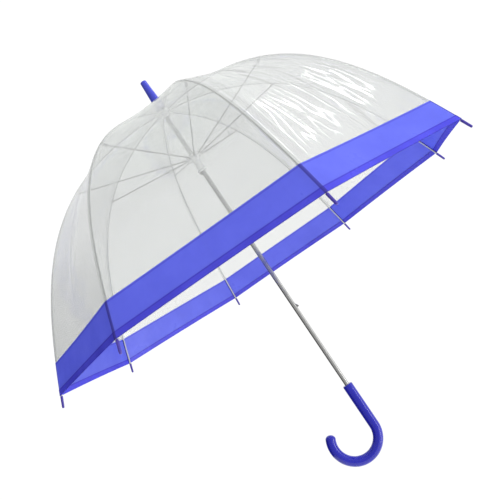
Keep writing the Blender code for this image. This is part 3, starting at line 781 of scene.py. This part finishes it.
def build_notch():
    """The slotted white hub that the ribs hang in, with its ring of wire."""
    top, bottom = PIVOT_Z + NOTCH_HALF_HEIGHT, PIVOT_Z - NOTCH_HALF_HEIGHT
    profile = [
        (BORE_RADIUS, top),
        (HUB_RADIUS - HUB_CHAMFER, top),
        (HUB_RADIUS, top - HUB_CHAMFER),
        (HUB_RADIUS, bottom + HUB_CHAMFER),
        (HUB_RADIUS - HUB_CHAMFER, bottom),
        (0.0066, bottom),
        (0.0062, PIVOT_Z - NOTCH_SLEEVE_DROP),
        (BORE_RADIUS, PIVOT_Z - NOTCH_SLEEVE_DROP),
    ]
    hub = turned("notch_hub", rounded_profile(profile, 0.0005, 3), 80, closed=True)
    cut_rib_slots(hub, PIVOT_Z, 0.006)
    finished(hub, "white", "frame", "top_notch")
    ring = []
    for angle in np.linspace(0, 2 * math.pi, 11)[:-1]:
        ring.append((PIVOT_RADIUS + WIRE_RADIUS * math.sin(angle), PIVOT_Z + WIRE_RADIUS * math.cos(angle)))
    wire = turned("notch_wire", ring, 64, closed=True)
    finished(wire, "spring", "frame")


def build_runner():
    """The white slider: a slotted hub on a sleeve with a finger flange."""
    profile = [
        (BORE_RADIUS, RUNNER_HIGH),
        (HUB_RADIUS - HUB_CHAMFER, RUNNER_HIGH),
        (HUB_RADIUS, RUNNER_HIGH - HUB_CHAMFER),
        (HUB_RADIUS, RUNNER_PIVOT_Z - 0.0032),
        (HUB_RADIUS - 0.0014, RUNNER_PIVOT_Z - 0.0045),
        (0.0082, RUNNER_PIVOT_Z - 0.0052),
        (SLEEVE_RADIUS, RUNNER_PIVOT_Z - 0.0075),
        (SLEEVE_RADIUS, RUNNER_LOW + 0.0050),
        (FLANGE_RADIUS, RUNNER_LOW + 0.0032),
        (FLANGE_RADIUS, RUNNER_LOW + 0.0010),
        (FLANGE_RADIUS - 0.0006, RUNNER_LOW),
        (BORE_RADIUS, RUNNER_LOW),
    ]
    body = turned("runner_slider", rounded_profile(profile, 0.0006, 3), 80, closed=True)
    cut_rib_slots(body, RUNNER_PIVOT_Z, 0.009)
    low, high = RUNNER_LOW - 0.005, RUNNER_HIGH + 0.005
    for _, azimuth, _, _ in catch_places():
        cut(body, slot_box(azimuth, 0.0015, KEYWAY_RADIUS, KEYWAY_WIDTH, low, high))
    finished(body, "white", "runner", "runner")


# ---------------------------------------------------------------- the ribs


def rib_line(start, end, count):
    """Points of the rib's centreline in the XZ plane."""
    points = rib_at(np.linspace(start, end, count))[0]
    return [(x, 0.0, z) for x, z in points]


def inner_rib():
    """The inner rib in the XZ plane, with its eye in the notch and the lug that the fork holds."""
    count = 44
    line = rib_line(RIB_RADIUS, FLEX_ARC - FLEX_HALF_GAP, count)
    rib = swept("rib_inner", line, [RIB_RADIUS] * count, 16)
    pivot = (PIVOT_RADIUS, PIVOT_Z)
    pin = (STRETCHER_PIN.xy.length, STRETCHER_PIN.z)
    eye = round_plug("eye", pivot, EYE_RADIUS, EYE_HALF_WIDTH)
    lug = round_plug("lug", pin, LUG_RADIUS, EYE_HALF_WIDTH)
    cut(rib, eye, lug, operation="UNION")
    drill(rib, pivot, EYE_HOLE_RADIUS)
    drill(rib, pin, PIN_HOLE_RADIUS)
    return rib


def outer_rib():
    """The outer rib in the XZ plane, which runs on past the hem into its tip."""
    count = 72
    line = rib_line(FLEX_ARC + FLEX_HALF_GAP, HEM_ARC + RIB_PAST_HEM, count)
    return swept("rib_outer", line, [RIB_RADIUS] * count, 16)


def stretcher():
    """The stretcher in the XZ plane: a forked bar with a rivet at its rib and an eye at the runner."""
    pin = Vector((STRETCHER_PIN.xy.length, STRETCHER_PIN.z))
    run = Vector((PIVOT_RADIUS, RUNNER_PIVOT_Z)) - pin
    length = run.length
    ends = [(x, 0.0, 0.0) for x in (0.0046, length - 0.0030, length - 0.0018, length - 0.0006)]
    bar = swept("stretcher_bar", ends, [STRETCHER_RADIUS, STRETCHER_RADIUS, 0.00095, 0.0009], 16)
    neck, cheek = 0.00105, 0.0014
    outline = [(0.0056, -neck), (0.0056, neck), (0.0030, neck)]
    for step in range(13):
        angle = math.pi / 2 + math.pi * step / 12
        outline.append((cheek * math.cos(angle), cheek * math.sin(angle)))
    outline.append((0.0030, -neck))
    fork = flat_outline("fork", outline, FORK_HALF_WIDTH)

    def throat_shape(shape):
        bmesh.ops.create_cube(shape, size=1.0)
        bmesh.ops.scale(shape, vec=(0.0076, 0.0028, 0.008), verts=shape.verts)
        bmesh.ops.translate(shape, vec=(-0.0002, 0, 0), verts=shape.verts)

    cut(fork, bmesh_object("throat", throat_shape))
    rivet = round_plug("rivet", (0.0, 0.0), 0.0005, 0.00175, 16)
    eye = round_plug("runner_eye", (length, 0.0), EYE_RADIUS, EYE_HALF_WIDTH)
    cut(bar, fork, rivet, eye, operation="UNION")
    drill(bar, (length, 0.0), EYE_HOLE_RADIUS)
    bar.data.transform(Matrix.Rotation(-math.atan2(run[1], run[0]), 4, "Y"))
    bar.data.transform(Matrix.Translation((pin[0], 0.0, pin[1])))
    return bar


def rib_tip():
    """The tip in the XZ plane: a round cap on the outer rib's end."""
    outside = [
        (0.0, TIP_HEIGHT),
        (0.0011, TIP_HEIGHT),
        (0.00175, TIP_HEIGHT - 0.0012),
        (TIP_RADIUS, 0.0030),
        (TIP_RADIUS, 0.0004),
        (TIP_BORE_RADIUS, 0.0004),
    ]
    profile = rounded_profile(outside, 0.0007)
    profile += [(TIP_BORE_RADIUS, TIP_BORE_HEIGHT), (0.0, TIP_BORE_HEIGHT)]
    tip = turned("tip", profile, 36)
    hem, tangent = rib_at(HEM_ARC)
    tip.data.transform(Matrix.Rotation(math.atan2(tangent[0], tangent[1]), 4, "Y"))
    tip.data.transform(Matrix.Translation((hem[0], 0.0, hem[1])))
    return tip


def build_ribs():
    """Eight ribs, each with a stretcher and a tip."""
    sources = (inner_rib(), outer_rib(), stretcher(), rib_tip())
    # each piece's name, node, body, material and slot
    rows = (
        ("rib_inner", "rib_upper", "rib_upper", "rib", "rib_steel"),
        ("rib_outer", "rib_lower", "rib_lower", "rib", "rib_steel"),
        ("stretcher_bar", "stretcher", "stretcher", "stretcher", "rib_steel"),
        ("tip_cap", "rib_tip", "rib_lower", "tip", "tip_blue"),
    )
    for number, azimuth in enumerate(AZIMUTHS, start=1):
        for source, (name, node, body, material, slot) in zip(sources, rows):
            piece = place_copy(source, f"{name}_{number}", azimuth)
            finished(piece, material, f"{body}_{number}", f"{node}_{number}")
    for source in sources:
        bpy.data.objects.remove(source, do_unlink=True)


# ---------------------------------------------------------------- the canopy


def fold_with_runner(piece):
    """Give a sheet a mesh of its own."""
    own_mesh(piece)


def build_canopy():
    """Clear film to the border, the coloured border, and its folded hem, a sector for each rib."""
    near_hub = np.linspace(CROWN_HOLE_RADIUS - PIVOT_RADIUS, CROWN_LIFT_ARC, 9)
    crown_arcs = np.r_[near_hub, np.linspace(CROWN_LIFT_ARC + 0.004, FLEX_ARC, 36)]
    side_arcs = np.linspace(FLEX_ARC, BORDER_ARC, 60)
    border_arcs = np.linspace(BORDER_ARC, HEM_ARC, 14)
    hem_arcs = np.linspace(HEM_ARC - HEM_STRIP, HEM_ARC, 5)
    reaches = [rib_at(arc)[0][0] for arc in (FLEX_ARC, BORDER_ARC, HEM_ARC)]
    for number, azimuth in enumerate(AZIMUTHS, start=1):
        top, top_area = sheet_object(f"clear_top_{number}", crown_arcs, azimuth, FILM_THICKNESS, 20)
        side, side_area = sheet_object(f"clear_side_{number}", side_arcs, azimuth, FILM_THICKNESS, 24)
        border, border_area = sheet_object(
            f"border_sheet_{number}", border_arcs, azimuth, BORDER_THICKNESS, 24
        )
        hem, _ = sheet_object(f"hem_fold_{number}", hem_arcs, azimuth, HEM_THICKNESS, 24)
        quarter = [f"crown_panel_{(number + 1) // 2}"] if number % 2 else []
        finished(top, "clear", f"rib_upper_{number}", *quarter, sharp=0)
        finished(side, "clear", f"rib_lower_{number}", f"side_panel_{number}", sharp=0)
        finished(border, "border", f"rib_lower_{number}", f"border_{number}", sharp=0)
        finished(hem, "hem", f"rib_lower_{number}", sharp=0)
        for sheet in (top, side, border, hem):
            fold_with_runner(sheet)


# ---------------------------------------------------------------- the studio


def build_camera():
    """The camera: its place, what it looks at, and its roll."""
    data = bpy.data.cameras.new("camera")
    data.lens = CAMERA_LENS
    data.sensor_width = 36.0
    camera = bpy.data.objects.new("camera", data)
    bpy.context.scene.collection.objects.link(camera)
    look = (CAMERA_TARGET - CAMERA_PLACE).normalized()
    level = look.to_track_quat("-Z", "Y").to_matrix().to_4x4()
    roll = Matrix.Rotation(-CAMERA_ROLL, 4, look)
    camera.matrix_world = Matrix.Translation(CAMERA_PLACE) @ roll @ level
    bpy.context.scene.camera = camera


def area_light(name, place, target, size, power, lengthways=(0.0, 0.0, 1.0)):
    """A soft rectangular lamp, given back, with the way its second side runs."""
    data = bpy.data.lights.new(name, "AREA")
    data.shape = "RECTANGLE"
    data.size, data.size_y = size
    data.energy = power
    back = (Vector(place) - Vector(target)).normalized()
    wide = Vector(lengthways).cross(back).normalized()
    turn = Matrix((wide, back.cross(wide), back)).transposed()
    lamp = bpy.data.objects.new(name, data)
    lamp.matrix_world = Matrix.Translation(place) @ turn.to_4x4()
    bpy.context.scene.collection.objects.link(lamp)
    return lamp


def build_world():
    """A white room, dimmer on the camera's side and dark behind a flag at the left."""
    world = bpy.data.worlds.new("studio")
    bpy.context.scene.world = world
    bpy.context.scene.view_settings.view_transform = "Standard"
    nodes = Nodes(world, "ShaderNodeOutputWorld")
    place = nodes.add("ShaderNodeTexCoord").outputs["Generated"]
    lean = nodes.dot(place, (0.55, 0.80, 0.20))
    flag = nodes.dot(place, (-0.98, 0.17, 0.0))
    bright = nodes.span(lean, -0.9, 0.8, 0.50, 1.06, "LINEAR")
    shade = nodes.span(flag, 0.62, 0.90, 1.0, 0.12, "LINEAR")
    room = nodes.shader("Background", Color=WHITE, Strength=nodes.math("MULTIPLY", bright, shade))
    backdrop = nodes.shader("Background", Color=WHITE, Strength=1.05)
    seen = nodes.add("ShaderNodeLightPath").outputs["Is Camera Ray"]
    nodes.shade(nodes.mix(seen, room, backdrop))


def build_floor():
    """A round pale floor, well below the umbrella."""

    def floor_shape(shape):
        bmesh.ops.create_circle(shape, cap_ends=True, segments=96, radius=FLOOR_RADIUS)
        bmesh.ops.translate(shape, vec=(0, 0, FLOOR_Z), verts=shape.verts)

    floor = bmesh_object("floor", floor_shape)
    nodes = material_nodes("floor_white")
    light = {"Emission_Color": WHITE, "Emission_Strength": 0.50}
    paint = nodes.shader("BsdfPrincipled", Base_Color=rgba(0.86, 0.86, 0.86), Roughness=0.7, **light)
    floor.data.materials.append(nodes.shade(paint))


def build_lamps():
    """One soft main lamp, and three narrow ones for the highlights on the film, shaft and hook."""
    key = area_light("key_box", (2.4, -1.8, 1.1), (0, 0, 0.35), (2.0, 2.0), 46)
    key.visible_glossy = False
    film_way = (0.37, -0.40, -0.20)
    area_light("streak_box", (1.13, 0.19, 1.31), (0.10, -0.27, 0.36), (0.035, 0.50), 0.75, film_way)
    area_light("strip_box", (1.4, -0.45, 0.05), (0, 0, 0.05), (0.22, 1.1), 1.1)
    hook_way = (0.515, 0.0, 0.857)
    hook = area_light("hook_box", (1.00, -0.62, -0.60), (0, 0, -0.03), (0.24, 1.10), 3.6, hook_way)
    hook.visible_diffuse = False


build_camera()
build_shaft()
build_catches()
build_handle()
build_ferrule()
build_notch()
build_runner()
build_ribs()
build_canopy()
build_world()
build_floor()
build_lamps()
